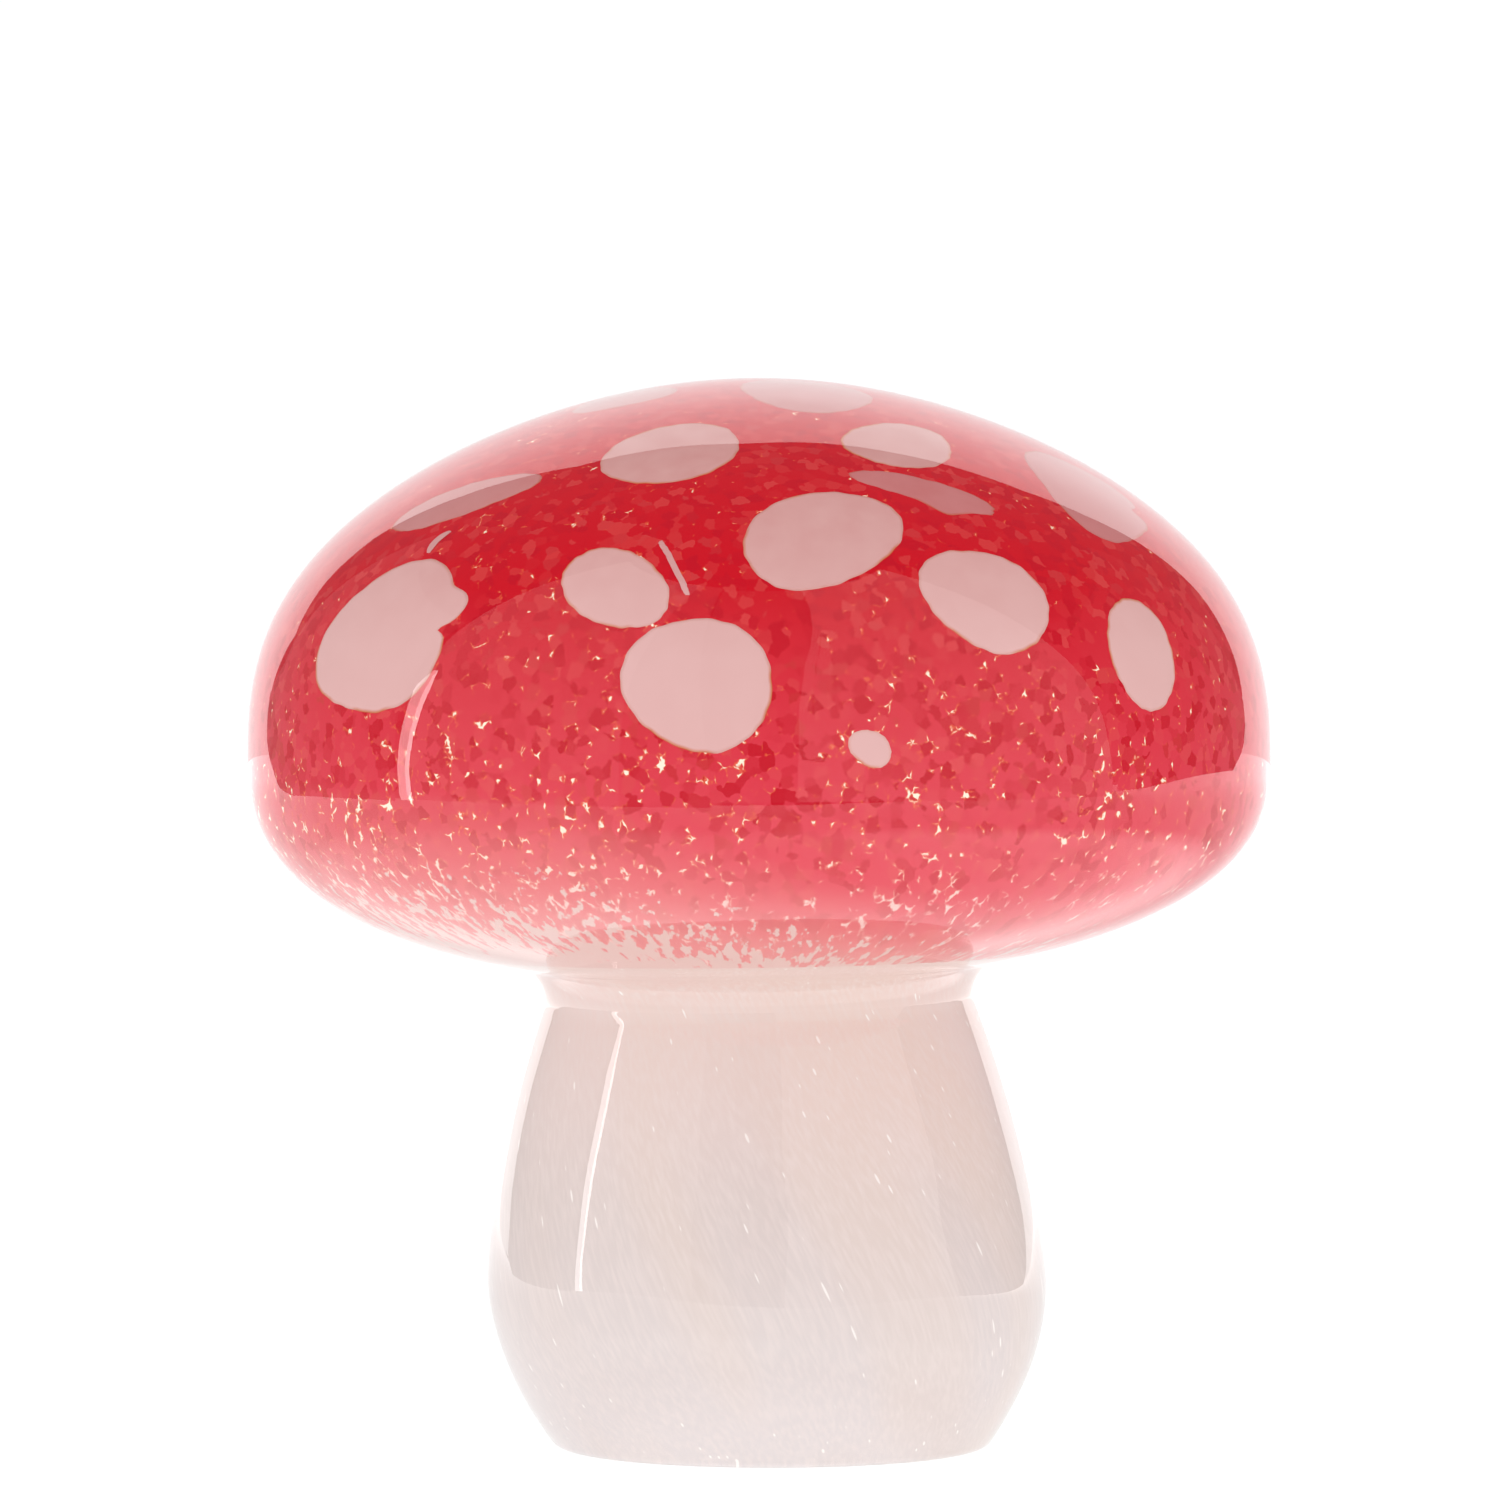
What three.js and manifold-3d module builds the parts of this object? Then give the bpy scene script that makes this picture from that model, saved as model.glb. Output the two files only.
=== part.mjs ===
// A mouth-blown glass mushroom. A white opal bubble makes the stem and lines the cap. A coat of red
// frit covers the cap, white dabs and threads are rolled flush into that coat, and a clear casing goes
// over everything. The blow hole in the foot is closed with a dab of white glass and ground flat.
// Millimetres, +Z up. The origin is on the ground under the middle of the cap, and -Y is the front.
import * as THREE from "three";
import { mergeVertices } from "three/addons/utils/BufferGeometryUtils.js";
import Module from "manifold-3d";

// Outer shape of the cap
const capRadius = 59.7;
const equatorHeight = 79.7;
const crownRise = 45.3;
const crownPinch = 0.175;
const crownFullness = 2.7;
const underDip = 25;
const underFullness = 2.3;

// Outer shape of the stem
const neckFillet = 4;
const throatRadius = 25.3;
const throatHeight = 51.5;
const stemTaper = 1.54;
const bellyRadius = 32.75;
const bellyHeight = 19.1;
const footRadius = 25.2;
const footTuck = 1.84;
const footRound = 2;

// Made by hand: the foot stands off the cap's axis, and the underside hangs lower on one side
const footOffset = 1.5;
const underTilt = 0.96;

// Layers of glass, counted inwards, with the seam that is left between two of them
const casingWall = 3;
const fritWall = 1;
const opalWall = 2.2;
const seam = 0.3;

// Ring of the underside that the frit leaves bare beside the neck
const bareNeck = 5.6;

// Foot
const blowHoleRadius = 9;
const floorWall = 6;
const sealCrown = 2.5;

// White dabs. at is the angle from the front towards +X, drop the way down the coat from its pole.
// egg swells the outline three ways by that share, one of them at the angle toward.
const dabs = [
  { at: 34, drop: 9.5, along: 17.5, across: 14.5, turn: 70, egg: 0.05, toward: 40 },
  { at: -20.3, drop: 29.3, along: 15.9, across: 14.7, turn: 45, egg: 0.02, toward: 37 },
  { at: 35.2, drop: 27.9, along: 14.6, across: 11.2, turn: 19, egg: 0.05, toward: 19 },
  { at: 30.6, drop: 38.5, along: 17.7, across: 4.8, turn: -31, egg: 0, toward: 0 },
  { at: 9.4, drop: 46.1, along: 19.8, across: 14.4, turn: 30, egg: 0.03, toward: 103 },
  { at: -19.2, drop: 54, along: 14.3, across: 9.6, turn: -29, egg: 0.02, toward: 6 },
  { at: -52.4, drop: 61.5, along: 21.7, across: 18, turn: 13, egg: 0.07, toward: 67 },
  { at: -7.2, drop: 65.6, along: 17.3, across: 14.9, turn: -16, egg: 0.03, toward: 65 },
  { at: 30.4, drop: 55.8, along: 15.8, across: 13.4, turn: -18, egg: 0.03, toward: 44 },
  { at: 52.2, drop: 63.6, along: 13.1, across: 10.9, turn: 70, egg: 0.02, toward: 95 },
  { at: 69, drop: 41.8, along: 20.5, across: 15.4, turn: 30, egg: 0.08, toward: 59 },
  { at: 12.7, drop: 73, along: 5.2, across: 3.9, turn: -30, egg: 0.03, toward: 74 },
  { at: -56.5, drop: 42, along: 19.5, across: 7.5, turn: 33, egg: 0.05, toward: 20 },
  { at: -79, drop: 15.4, along: 12.1, across: 11.7, turn: 0, egg: 0.08, toward: 45 },
  { at: 106, drop: 58, along: 15.2, across: 13.2, turn: 15, egg: 0.04, toward: 10 },
  { at: 118, drop: 32, along: 16.4, across: 13.4, turn: -25, egg: 0.05, toward: 50 },
  { at: 134, drop: 67.5, along: 17.8, across: 15.2, turn: 40, egg: 0.05, toward: 20 },
  { at: 143, drop: 45.5, along: 13.8, across: 11.2, turn: -60, egg: 0.06, toward: 0 },
  { at: 166, drop: 59, along: 19.6, across: 16.2, turn: 10, egg: 0.04, toward: 35 },
  { at: 172, drop: 27.5, along: 16, across: 13.8, turn: 65, egg: 0.05, toward: 15 },
  { at: 192, drop: 72, along: 5.8, across: 4.6, turn: 20, egg: 0.03, toward: 0 },
  { at: 198, drop: 44.5, along: 12.4, across: 9.8, turn: -35, egg: 0.05, toward: 45 },
  { at: 214, drop: 62, along: 17.2, across: 14.8, turn: 55, egg: 0.04, toward: 5 },
  { at: 226, drop: 35, along: 18, across: 13.6, turn: -15, egg: 0.06, toward: 30 },
  { at: 248, drop: 54.5, along: 16.4, across: 14, turn: 30, egg: 0.04, toward: 55 },
];

// White threads, placed in the same way
const threads = [
  { at: -11.7, drop: 51.1, along: 9, across: 0.7, turn: -61, egg: 0, toward: 0 },
  { at: -51.8, drop: 49, along: 3.6, across: 0.9, turn: 80, egg: 0, toward: 0 },
];

// Fineness of the facets
const around = 32;
const crownSteps = 8;
const underSteps = 4;
const neckSteps = 2;
const filletSteps = 2;
const stemSteps = 3;
const footSteps = 2;
const roundSteps = 2;
const sealSteps = 3;
const dabSides = 12;
const threadSides = 8;

// Fineness of the search for places on a curve, and of the weld between facets
const halvings = 60;
const slopeStep = 1e-4;
const capStrides = 1000;
const weld = 1e-3;

const quarter = Math.PI / 2;
const radians = THREE.MathUtils.degToRad;

// The outline as curves of [radius, height]. Each runs from the pole towards the ground.
const crown = (turn) => new THREE.Vector2(
  capRadius * Math.sin(turn) * (1 - crownPinch * Math.cos(turn) ** 2),
  equatorHeight + crownRise * Math.max(Math.cos(turn), 0) ** (2 / crownFullness),
);

const underside = (turn) => new THREE.Vector2(
  capRadius * Math.max(Math.cos(turn), 0) ** (2 / underFullness),
  equatorHeight - underDip * Math.max(Math.sin(turn), 0) ** (2 / underFullness),
);

const stemAt = (height) => {
  const rise = Math.max(height - bellyHeight, 0) / (throatHeight - bellyHeight);
  const fall = Math.max(bellyHeight - height, 0) / bellyHeight;
  const drawnIn = (bellyRadius - throatRadius) * rise ** stemTaper;
  const tuckedIn = (bellyRadius - footRadius) * fall ** footTuck;
  return new THREE.Vector2(bellyRadius - drawnIn - tuckedIn, height);
};

const stem = (below) => stemAt(-below);

// A point of a curve with the direction that points out of the glass there
function station(curve, t) {
  const along = curve(t + slopeStep).sub(curve(t - slopeStep)).normalize();
  return { point: curve(t), out: new THREE.Vector2(-along.y, along.x) };
}

const heading = (direction) => Math.atan2(direction.y, direction.x);

// A point below the surface of a station
const sunk = ({ point, out }, depth) => point.clone().addScaledVector(out, -depth);

// The place between low and high where a falling measure passes zero
function crossing(measure, low, high) {
  let [over, under] = [low, high];
  for (let i = 0; i < halvings; i++) {
    const middle = (over + under) / 2;
    if (measure(middle) > 0) over = middle;
    else under = middle;
  }
  return (over + under) / 2;
}

// The stem's station whose point at this depth lies at the given height
function stemStation(depth, height, top = bellyHeight) {
  const above = (t) => sunk(station(stem, t), depth).y - height;
  return crossing(above, -top, bellyHeight);
}

// The neck fillet: an arc that touches the underside and the stem from outside
const filletGap = (turn) => {
  const centre = sunk(station(underside, turn), -neckFillet);
  const beside = station(stem, stemStation(-neckFillet, centre.y, equatorHeight));
  return centre.x - sunk(beside, -neckFillet).x;
};
const filletTop = crossing(filletGap, 0, quarter);
const filletCentre = sunk(station(underside, filletTop), -neckFillet);
const filletFoot = stemStation(-neckFillet, filletCentre.y, equatorHeight);

const fillet = (share) => {
  const first = heading(station(underside, filletTop).out);
  const last = heading(station(stem, filletFoot).out);
  const angle = THREE.MathUtils.lerp(first, last, share);
  const out = new THREE.Vector2(Math.cos(angle), Math.sin(angle));
  return { point: filletCentre.clone().addScaledVector(out, -neckFillet), out };
};

// Stations spread evenly over a stretch of a curve, without the first one
function stretch(curve, from, to, steps) {
  const at = (i) => THREE.MathUtils.lerp(from, to, i / steps);
  return Array.from({ length: steps }, (_, i) => station(curve, at(i + 1)));
}

// One wall of a layer, from the pole to the given height: capDepth below the surface as far as the
// frit goes, stemDepth below it on the stem, and an even change between them
const fritEdgeRadius = underside(filletTop).x + bareNeck;
const fritTurn = Math.acos((fritEdgeRadius / capRadius) ** (underFullness / 2));

function capWall(depth) {
  const pole = { point: crown(0), out: new THREE.Vector2(0, 1) };
  const places = [
    pole,
    ...stretch(crown, 0, quarter, crownSteps),
    ...stretch(underside, 0, fritTurn, underSteps),
  ];
  return places.map((place) => sunk(place, depth));
}

function wall(capDepth, stemDepth, endHeight) {
  const neck = [
    ...stretch(underside, fritTurn, filletTop, neckSteps),
    ...Array.from({ length: filletSteps }, (_, i) => fillet((i + 1) / filletSteps)),
  ];
  const below = [
    ...stretch(stem, filletFoot, -bellyHeight, stemSteps),
    ...stretch(stem, -bellyHeight, stemStation(stemDepth, endHeight), footSteps),
  ];
  const share = (i) => (i + 1) / neck.length;
  return [
    ...capWall(capDepth),
    ...neck.map((place, i) => sunk(place, THREE.MathUtils.lerp(capDepth, stemDepth, share(i)))),
    ...below.map((place) => sunk(place, stemDepth)),
  ];
}

// The outside of the casing: the outline with its edge at the foot rounded off
function outside() {
  const start = station(stem, stemStation(footRound, footRound));
  const centre = sunk(start, footRound);
  const edge = Array.from({ length: roundSteps }, (_, i) => {
    const angle = THREE.MathUtils.lerp(heading(start.out), -quarter, (i + 1) / roundSteps);
    const out = new THREE.Vector2(Math.cos(angle), Math.sin(angle));
    return out.multiplyScalar(footRound).add(centre);
  });
  const down = wall(0, 0, start.point.y);
  return [...down, ...edge];
}

// Solids of revolution, and the joins and cuts between solids
const wasm = await Module();
wasm.setup();

function solid(geometry) {
  geometry.deleteAttribute("normal");
  geometry.deleteAttribute("uv");
  const merged = mergeVertices(geometry, weld);
  const corners = merged.index.array;
  const triVerts = [];
  for (let i = 0; i < corners.length; i += 3) {
    const [a, b, c] = corners.slice(i, i + 3);
    if (a !== b && b !== c && c !== a) triVerts.push(a, b, c);
  }
  return new wasm.Manifold(new wasm.Mesh({
    numProp: 3,
    vertProperties: merged.attributes.position.array,
    triVerts: new Uint32Array(triVerts),
  }));
}

// The profile runs from the pole down the outside and back up the inside
function turned(profile) {
  const geometry = new THREE.LatheGeometry(profile.toReversed(), around);
  return solid(geometry.rotateX(quarter));
}

// The uneven stance that handwork gives the finished piece
const neckLevel = filletCentre.y;

function stance(point) {
  const { clamp, smoothstep } = THREE.MathUtils;
  const rising = clamp((point.z - bellyHeight) / (neckLevel - bellyHeight), 0, 1);
  const falling = clamp((equatorHeight - point.z) / (equatorHeight - neckLevel), 0, 1);
  const tilt = Math.tan(radians(underTilt)) * smoothstep(rising * falling, 0, 1);
  const shift = footOffset * clamp((neckLevel - point.z) / neckLevel, 0, 1);
  return new THREE.Vector3(point.x + shift, point.y, point.z + point.x * tilt);
}

const ornament = new THREE.Group();

function addPiece(name, body, look) {
  const { vertProperties, triVerts } = body.getMesh();
  const geometry = new THREE.BufferGeometry();
  geometry.setAttribute("position", new THREE.BufferAttribute(vertProperties.slice(), 3));
  geometry.setIndex(new THREE.BufferAttribute(triVerts.slice(), 1));
  const place = geometry.attributes.position;
  const point = new THREE.Vector3();
  for (let i = 0; i < place.count; i++) {
    const stood = stance(point.fromBufferAttribute(place, i));
    place.setXYZ(i, stood.x, stood.y, stood.z);
  }
  geometry.computeVertexNormals();
  const mesh = new THREE.Mesh(geometry, new THREE.MeshStandardMaterial({ metalness: 0, ...look }));
  mesh.name = name;
  ornament.add(mesh);
}

const clearGlass = { color: 0xf6fafa, roughness: 0.03, transparent: true, opacity: 0.25 };
const redFrit = { color: 0xc8202e, roughness: 0.12 };
const whiteOpal = { color: 0xeadbd4, roughness: 0.1 };
const whiteDab = { color: 0xe8cac6, roughness: 0.1 };

// Clear casing, over cap and stem and open at the foot
const casing = [...outside(), ...wall(casingWall, casingWall, 0).toReversed()];
addPiece("clear_casing", turned(casing), clearGlass);

// Red frit coat on the cap, before the white glass is rolled into it
const fritDepth = casingWall + seam;
const coat = turned([...capWall(fritDepth), ...capWall(fritDepth + fritWall).toReversed()]);

// The cap's station at a given way down the coat from its pole
function capStation(drop) {
  const stride = quarter / capStrides;
  const cap = (turn) => (turn <= quarter ? station(crown, turn) : station(underside, turn - quarter));
  let turn = 0;
  let gone = 0;
  while (gone < drop && turn < 2 * quarter - stride) {
    gone += sunk(cap(turn), fritDepth).distanceTo(sunk(cap(turn + stride), fritDepth));
    turn += stride;
  }
  return cap(turn);
}

// The column that cuts one dab or thread out of the coat, grown by a margin on all sides
function column({ at, drop, along, across, turn, egg, toward }, sides, margin) {
  const rim = Array.from({ length: sides }, (_, i) => {
    const angle = (2 * Math.PI * i) / sides;
    const swell = 1 + egg * Math.cos(3 * (angle - radians(toward)));
    const long = (along / 2) * swell + margin;
    const short = (across / 2) * swell + margin;
    return new THREE.Vector2(long * Math.cos(angle), short * Math.sin(angle));
  });
  const spin = new THREE.Vector2();
  rim.forEach((point) => point.rotateAround(spin, radians(turn)));
  const reach = along / 2;
  const shape = new THREE.Shape(rim);
  const block = new THREE.ExtrudeGeometry(shape, { depth: 2 * reach, bevelEnabled: false });
  block.translate(0, 0, -reach);

  const { point, out } = capStation(drop);
  const middle = sunk({ point, out }, fritDepth + fritWall / 2);
  const side = new THREE.Vector3(Math.cos(radians(at)), Math.sin(radians(at)), 0);
  const front = new THREE.Vector3(Math.sin(radians(at)), -Math.cos(radians(at)), 0);
  const normal = front.clone().multiplyScalar(out.x).setZ(out.y);
  const up = normal.clone().cross(side);
  const place = new THREE.Matrix4().makeBasis(side, up, normal);
  place.setPosition(front.multiplyScalar(middle.x).setZ(middle.y));
  return solid(block.applyMatrix4(place));
}

// Every thread and dab takes its place out of what is left of the coat, with a seam around it
let coatLeft = coat;

function rollIn(name, spec, sides) {
  addPiece(name, coatLeft.intersect(column(spec, sides, 0)), whiteDab);
  coatLeft = coatLeft.subtract(column(spec, sides, seam));
}

threads.forEach((spec, i) => rollIn(`white_thread_${i + 1}`, spec, threadSides));
dabs.forEach((spec, i) => rollIn(`white_spot_${String(i + 1).padStart(2, "0")}`, spec, dabSides));
addPiece("red_frit_coat", coatLeft, redFrit);

// White opal bubble, with a floor at the foot and the blow hole through it
const opalCap = fritDepth + fritWall + seam;
const opalStem = casingWall + seam;
const bubble = [
  ...wall(opalCap, opalStem, 0),
  new THREE.Vector2(blowHoleRadius, 0),
  new THREE.Vector2(blowHoleRadius, floorWall),
  ...wall(opalCap + opalWall, opalStem + opalWall, floorWall).toReversed(),
];
addPiece("opal_bubble", turned(bubble), whiteOpal);

// Dab of white glass that closes the blow hole, ground flat with the foot and domed inside
const sealRadius = blowHoleRadius - seam;
const dome = Array.from({ length: sealSteps }, (_, i) => {
  const angle = (quarter * i) / sealSteps;
  return new THREE.Vector2(sealRadius * Math.cos(angle), floorWall + sealCrown * Math.sin(angle));
});
const seal = [
  new THREE.Vector2(0, floorWall + sealCrown),
  ...dome.toReversed(),
  new THREE.Vector2(sealRadius, 0),
  new THREE.Vector2(0, 0),
];
addPiece("foot_seal", turned(seal), whiteOpal);

export default ornament;
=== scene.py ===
# %% [markdown]
# # A blown glass mushroom
# This lesson dresses a glass toadstool in Blender. The real one is made hot, layer over layer: a white opal
# bubble, a coat of red glass chips on its cap, white dabs rolled flush into the red, and clear glass over
# everything. Each layer is a mesh of its own here, because the depth of the clear glass is what makes it
# look like glass: the colours lie three millimetres below the surface that shines.

import bmesh
import bpy
import numpy as np
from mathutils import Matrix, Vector


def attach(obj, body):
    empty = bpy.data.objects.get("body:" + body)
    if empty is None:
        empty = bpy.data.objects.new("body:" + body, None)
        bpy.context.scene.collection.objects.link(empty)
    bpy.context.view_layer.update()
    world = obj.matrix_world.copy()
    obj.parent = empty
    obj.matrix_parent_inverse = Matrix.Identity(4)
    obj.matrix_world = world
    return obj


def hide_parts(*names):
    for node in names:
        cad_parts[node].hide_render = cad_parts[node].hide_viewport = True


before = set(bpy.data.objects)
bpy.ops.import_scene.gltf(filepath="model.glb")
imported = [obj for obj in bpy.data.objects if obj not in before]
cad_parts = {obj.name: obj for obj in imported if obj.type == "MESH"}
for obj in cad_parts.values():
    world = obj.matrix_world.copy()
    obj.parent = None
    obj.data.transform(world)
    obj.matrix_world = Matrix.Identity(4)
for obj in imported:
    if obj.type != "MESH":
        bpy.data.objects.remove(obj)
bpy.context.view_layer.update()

# %% [markdown]
# ## Five small helpers
# Colours are picked as sRGB hex codes, the way a picture shows them, and shaders work in linear light, so
# one function turns one into the other. Two more start a material and add a node to it. Sockets that share
# a name are picked by number: in Map Range, 1 and 2 are the range that is read, and 3 and 4 the range that
# is given. In Mix, 2 and 3 are two numbers, and 6 and 7 two colours.
# A mesh is made from a grid of points: every piece of this object is a closed surface that runs from one
# pole to another, so one way of joining the points serves them all. The last helper gives a finished piece
# its material and its place in the frame.

# %% Helpers
MM = 0.001
MERGE = 1e-4


def linear(code):
    """The linear RGBA colour of an sRGB hex code."""
    share = np.array([int(code[i:i + 2], 16) for i in (1, 3, 5)]) / 255
    light = np.where(share <= 0.04045, share / 12.92, ((share + 0.055) / 1.055) ** 2.4)
    return (*light.tolist(), 1.0)


def blank(name):
    """A new material and its node tree, which starts empty."""
    material = bpy.data.materials.new(name)
    material.use_nodes = True
    material.node_tree.nodes.clear()
    return material, material.node_tree


def add(tree, kind, inputs=None, **settings):
    """Add a shader node. An input that is given a socket is linked to it, any other value is set on it."""
    node = tree.nodes.new("ShaderNode" + kind)
    for name, value in settings.items():
        setattr(node, name, value)
    for key, value in (inputs or {}).items():
        if isinstance(value, bpy.types.NodeSocket):
            tree.links.new(value, node.inputs[key])
        else:
            node.inputs[key].default_value = value
    return node


def skin(name, grid, around=True, **values):
    """A mesh object from a grid of points in millimetres, rows by columns.

    Neighbouring points are joined into quads, and the last column to the first where the grid goes around.
    Points that fall together at a pole are merged, and the faces are turned outwards, which is the side
    that gives a positive volume. Each extra value becomes a point attribute of its name.
    """
    rows, columns = grid.shape[:2]
    index = np.arange(rows * columns).reshape(rows, columns)
    if around:
        index = np.column_stack([index, index[:, 0]])
    corners = [index[:-1, :-1], index[1:, :-1], index[1:, 1:], index[:-1, 1:]]
    faces = np.stack(corners, axis=-1).reshape(-1, 4)
    points = grid.reshape(-1, 3) * MM
    a, b, c, d = (points[faces[:, k]] for k in range(4))
    volume = (np.cross(a, b) * c + np.cross(a, c) * d).sum()
    if volume < 0:
        faces = faces[:, ::-1]
    mesh = bpy.data.meshes.new(name)
    mesh.from_pydata(points.tolist(), [], faces.tolist())
    for key, data in values.items():
        kind, field = ("FLOAT_VECTOR", "vector") if data.ndim == 3 else ("FLOAT", "value")
        mesh.attributes.new(key, kind, "POINT").data.foreach_set(field, data.astype(np.float32).ravel())
    shell = bmesh.new()
    shell.from_mesh(mesh)
    bmesh.ops.remove_doubles(shell, verts=shell.verts, dist=MERGE * MM)
    shell.to_mesh(mesh)
    shell.free()
    mesh.shade_smooth()
    piece = bpy.data.objects.new(name, mesh)
    bpy.context.collection.objects.link(piece)
    return piece


def dress(piece, material, slot, *nodes):
    """Give a piece its material, let it ride with the ornament, and hide the CAD nodes named, whose place it
    takes.
    """
    piece.data.materials.append(material)
    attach(piece, "root")
    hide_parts(*nodes)
    print(piece.name, "has", len(piece.data.polygons), "faces and stands for", ", ".join(nodes))


# %% [markdown]
# ## The outline
# The shape is turned: one outline, carried around the axis. It could be drawn by hand with a curve, but a
# formula gives a smooth highlight, and glass shows every dent in its highlights. The crown is a sine wave
# drawn in near the pole, the underside is a superellipse, the stem is a barrel with a power of the height
# on either side of its belly, and an arc joins the two at the neck. All sizes are in millimetres.

# %% The outline's curves
CAP_RADIUS = 59.7
EQUATOR = 79.7
CROWN_RISE = 45.3
CROWN_PINCH = 0.175
CROWN_FULLNESS = 2.7
UNDER_DIP = 25
UNDER_FULLNESS = 2.3
NECK_FILLET = 4
THROAT_RADIUS = 25.3
THROAT_HEIGHT = 51.5
STEM_TAPER = 1.54
BELLY_RADIUS = 32.75
BELLY_HEIGHT = 19.1
FOOT_RADIUS = 25.2
FOOT_TUCK = 1.84
QUARTER = np.pi / 2


def crown(turn):
    """Radius: the cap's radius times sine, drawn in by the pinch times cosine squared.
    Height: the crown's rise times a power of cosine, above the equator."""
    radius = CAP_RADIUS * np.sin(turn) * (1 - CROWN_PINCH * np.cos(turn) ** 2)
    height = EQUATOR + CROWN_RISE * np.cos(turn).clip(0) ** (2 / CROWN_FULLNESS)
    return np.stack([radius, height], axis=-1)


def underside(turn):
    """A quarter of a superellipse that hangs from the equator: powers of cosine and sine."""
    radius = CAP_RADIUS * np.cos(turn).clip(0) ** (2 / UNDER_FULLNESS)
    height = EQUATOR - UNDER_DIP * np.sin(turn).clip(0) ** (2 / UNDER_FULLNESS)
    return np.stack([radius, height], axis=-1)


def stem(height):
    """The belly's radius, less a power of the way up to the throat, less a power of the way down to the
    foot."""
    rise = (height - BELLY_HEIGHT).clip(0) / (THROAT_HEIGHT - BELLY_HEIGHT)
    fall = (BELLY_HEIGHT - height).clip(0) / BELLY_HEIGHT
    drawn_in = (BELLY_RADIUS - THROAT_RADIUS) * rise ** STEM_TAPER
    tucked_in = (BELLY_RADIUS - FOOT_RADIUS) * fall ** FOOT_TUCK
    return np.stack([BELLY_RADIUS - drawn_in - tucked_in, height], axis=-1)


def outward(curve):
    """The unit directions out of the glass along a curve that runs down: its slope turned by a quarter."""
    slope = np.gradient(curve, axis=0)
    slope /= np.linalg.norm(slope, axis=1, keepdims=True)
    return np.stack([-slope[:, 1], slope[:, 0]], axis=-1)


def travelled(curve):
    """The way gone along a curve at each of its points."""
    return np.concatenate([[0], np.cumsum(np.linalg.norm(np.diff(curve, axis=0), axis=1))])


def evenly(curve, step):
    """The same curve with its points spread evenly, about one step apart."""
    way = travelled(curve)
    places = np.linspace(0, way[-1], int(way[-1] / step) + 1)
    return np.stack([np.interp(places, way, curve[:, k]) for k in range(2)], axis=-1)


# %% [markdown]
# The neck's arc touches the underside and the stem from outside. Its centre lies one radius off both
# curves, so it is found where the two curves, each pushed out by that radius, cross.

# %% The whole outline, from the pole to the ground
OUTLINE_STEP = 0.55
CURVE_POINTS = 4000
ARC_POINTS = 60

under_curve = underside(np.linspace(0, QUARTER, CURVE_POINTS))
under_pushed = under_curve + NECK_FILLET * outward(under_curve)
stem_curve = stem(np.linspace(EQUATOR, 0, CURVE_POINTS))
stem_pushed = stem_curve + NECK_FILLET * outward(stem_curve)
room = under_pushed[:, 0] - np.interp(under_pushed[:, 1], stem_pushed[::-1, 1], stem_pushed[::-1, 0])
touch = np.argmax(room < 0)
neck_centre = under_pushed[touch]
neck_foot = np.argmin(np.abs(stem_pushed[:, 1] - neck_centre[1]))
first_out = outward(under_curve)[touch]
last_out = outward(stem_curve)[neck_foot]
bearings = np.linspace(np.arctan2(*first_out[::-1]), np.arctan2(*last_out[::-1]), ARC_POINTS)
neck_arc = neck_centre - NECK_FILLET * np.stack([np.cos(bearings), np.sin(bearings)], axis=-1)

outline = np.concatenate([
    crown(np.linspace(0, QUARTER, CURVE_POINTS // 2)),
    under_curve[1:touch],
    neck_arc,
    stem_curve[neck_foot + 1:],
])
outline = evenly(outline, OUTLINE_STEP)
out = outward(outline)
out[0] = 0, 1
NECK_LEVEL = neck_centre[1]
print("Outline of", len(outline), "points, neck at", neck_centre.round(2))

# %% [markdown]
# ## Layers and stance
# A layer is the outline sunk by some depth along its own normals, as paint or glass lies evenly on a form.
# Handwork left the foot off the cap's axis and the underside lower on one side, so every finished surface
# is shifted and tilted a little by the same rule. Where layers meet they are fused, so the clear glass runs
# on a fifth of a millimetre into the colour below it and no film of air shows between them.

# %% Depths, and the uneven stance
CASING_WALL = 3
SEAM = 0.3
FRIT_WALL = 1
OPAL_WALL = 2.2
FUSED = 0.2
BARE_NECK = 5.6
FOOT_OFFSET = 1.5
UNDER_TILT = np.radians(0.96)
AROUND = 200

frit_edge_radius = under_curve[touch, 0] + BARE_NECK
below_equator = outline[:, 1] < EQUATOR
frit_end = np.argmax(below_equator & (outline[:, 0] < frit_edge_radius))
way = travelled(outline)


def ease(low, high, value):
    """A smooth step from 0 at low to 1 at high."""
    share = ((value - low) / (high - low)).clip(0, 1)
    return share * share * (3 - 2 * share)


def stance(points):
    """Shift the stem towards its foot, and tilt the underside, by an amount that fades up and down."""
    x, y, z = points[..., 0], points[..., 1], points[..., 2]
    shift = FOOT_OFFSET * ((NECK_LEVEL - z) / NECK_LEVEL).clip(0, 1)
    rising = ((z - BELLY_HEIGHT) / (NECK_LEVEL - BELLY_HEIGHT)).clip(0, 1)
    falling = ((EQUATOR - z) / (EQUATOR - NECK_LEVEL)).clip(0, 1)
    tilt = np.tan(UNDER_TILT) * ease(0, 1, rising * falling)
    return np.stack([x + shift, y, z + x * tilt], axis=-1)


def turned(profile, around=AROUND):
    """Carry a profile of radius and height around the axis, from the front on, and give it its stance."""
    angle = np.linspace(0, 2 * np.pi, around, endpoint=False)
    radius, height = profile[:, 0, None], profile[:, 1, None]
    x, y = radius * np.sin(angle), -radius * np.cos(angle)
    return stance(np.stack([x, y, height + 0 * x], axis=-1))


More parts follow.
